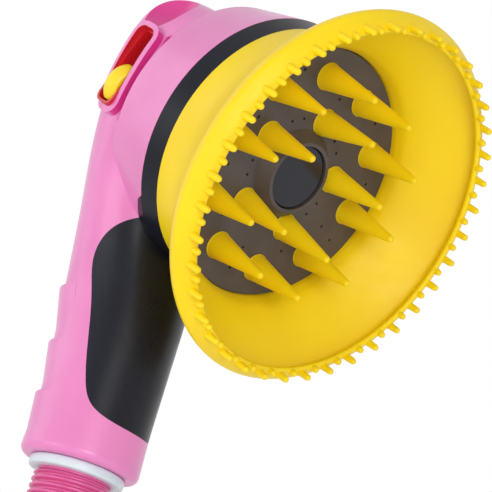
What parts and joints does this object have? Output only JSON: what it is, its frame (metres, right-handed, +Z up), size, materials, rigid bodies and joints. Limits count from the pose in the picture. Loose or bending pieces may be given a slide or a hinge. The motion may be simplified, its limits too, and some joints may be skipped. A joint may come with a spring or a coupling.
{
  "type": "handheld bath sprayer",
  "caption": "Handheld shower sprayer with a flared rubber splash cup, massage cones on a drilled plate, a soft-gripped handle and a thumb slider that opens the water.",
  "frame": {"origin": "centre of the hose thread's free end", "axes": "+Z up the handle's axis from the hose thread, the spray leaves towards -Y and slightly down, +X and -X are the two flanks with a thumb slot each"},
  "size_m": [0.0998, 0.1015, 0.1424],
  "materials": {
    "pink_shell": "glossy moulded plastic",
    "pink_thread": "satin moulded plastic",
    "navy_soft": "smooth glossy overmould",
    "yellow_rubber": "smooth silicone rubber",
    "yellow_plastic": "glossy moulded plastic",
    "plate_grey": "satin moulded plastic",
    "plug_navy": "glossy moulded plastic",
    "red_plastic": "glossy moulded plastic",
    "white_ring": "satin moulded plastic",
    "white_inner": "moulded acetal",
    "grey_inner": "moulded plastic",
    "seal_rubber": "moulded rubber",
    "steel": "stainless screws and spring leaf"
  },
  "bodies": {
    "body": {"front_shell": "pink_shell", "rear_shell": "pink_shell", "soft_grip": "navy_soft", "splash_cup": "yellow_rubber", "massage_spikes": "yellow_rubber", "cone_mat": "yellow_rubber", "spray_plate": "plate_grey", "hub_cap": "plug_navy", "hub_screw": "steel", "plate_gasket": "seal_rubber", "head_manifold": "white_inner", "cup_clamp": "grey_inner", "valve_housing": "white_inner", "valve_cap": "white_inner", "outlet_seal": "seal_rubber", "valve_screws": "steel", "slot_liner": "red_plastic", "slot_liner_far": "red_plastic", "detent_spring": "steel", "flow_tube": "white_inner", "tube_seals": "seal_rubber", "inlet_nipple": "pink_thread", "hose_ring": "white_ring", "inlet_filter": "white_inner"},
    "slider": {"thumb_slider": "yellow_plastic", "thumb_slider_far": "yellow_plastic", "slider_carrier": "red_plastic", "valve_spool": "grey_inner", "spool_rings": "seal_rubber"}
  },
  "joints": [
    {"name": "water_slide", "type": "slide", "parent": "body", "child": "slider", "axis": [0, -0.4305, 0.9026], "range_m": [0, 0.0095]}
  ]
}
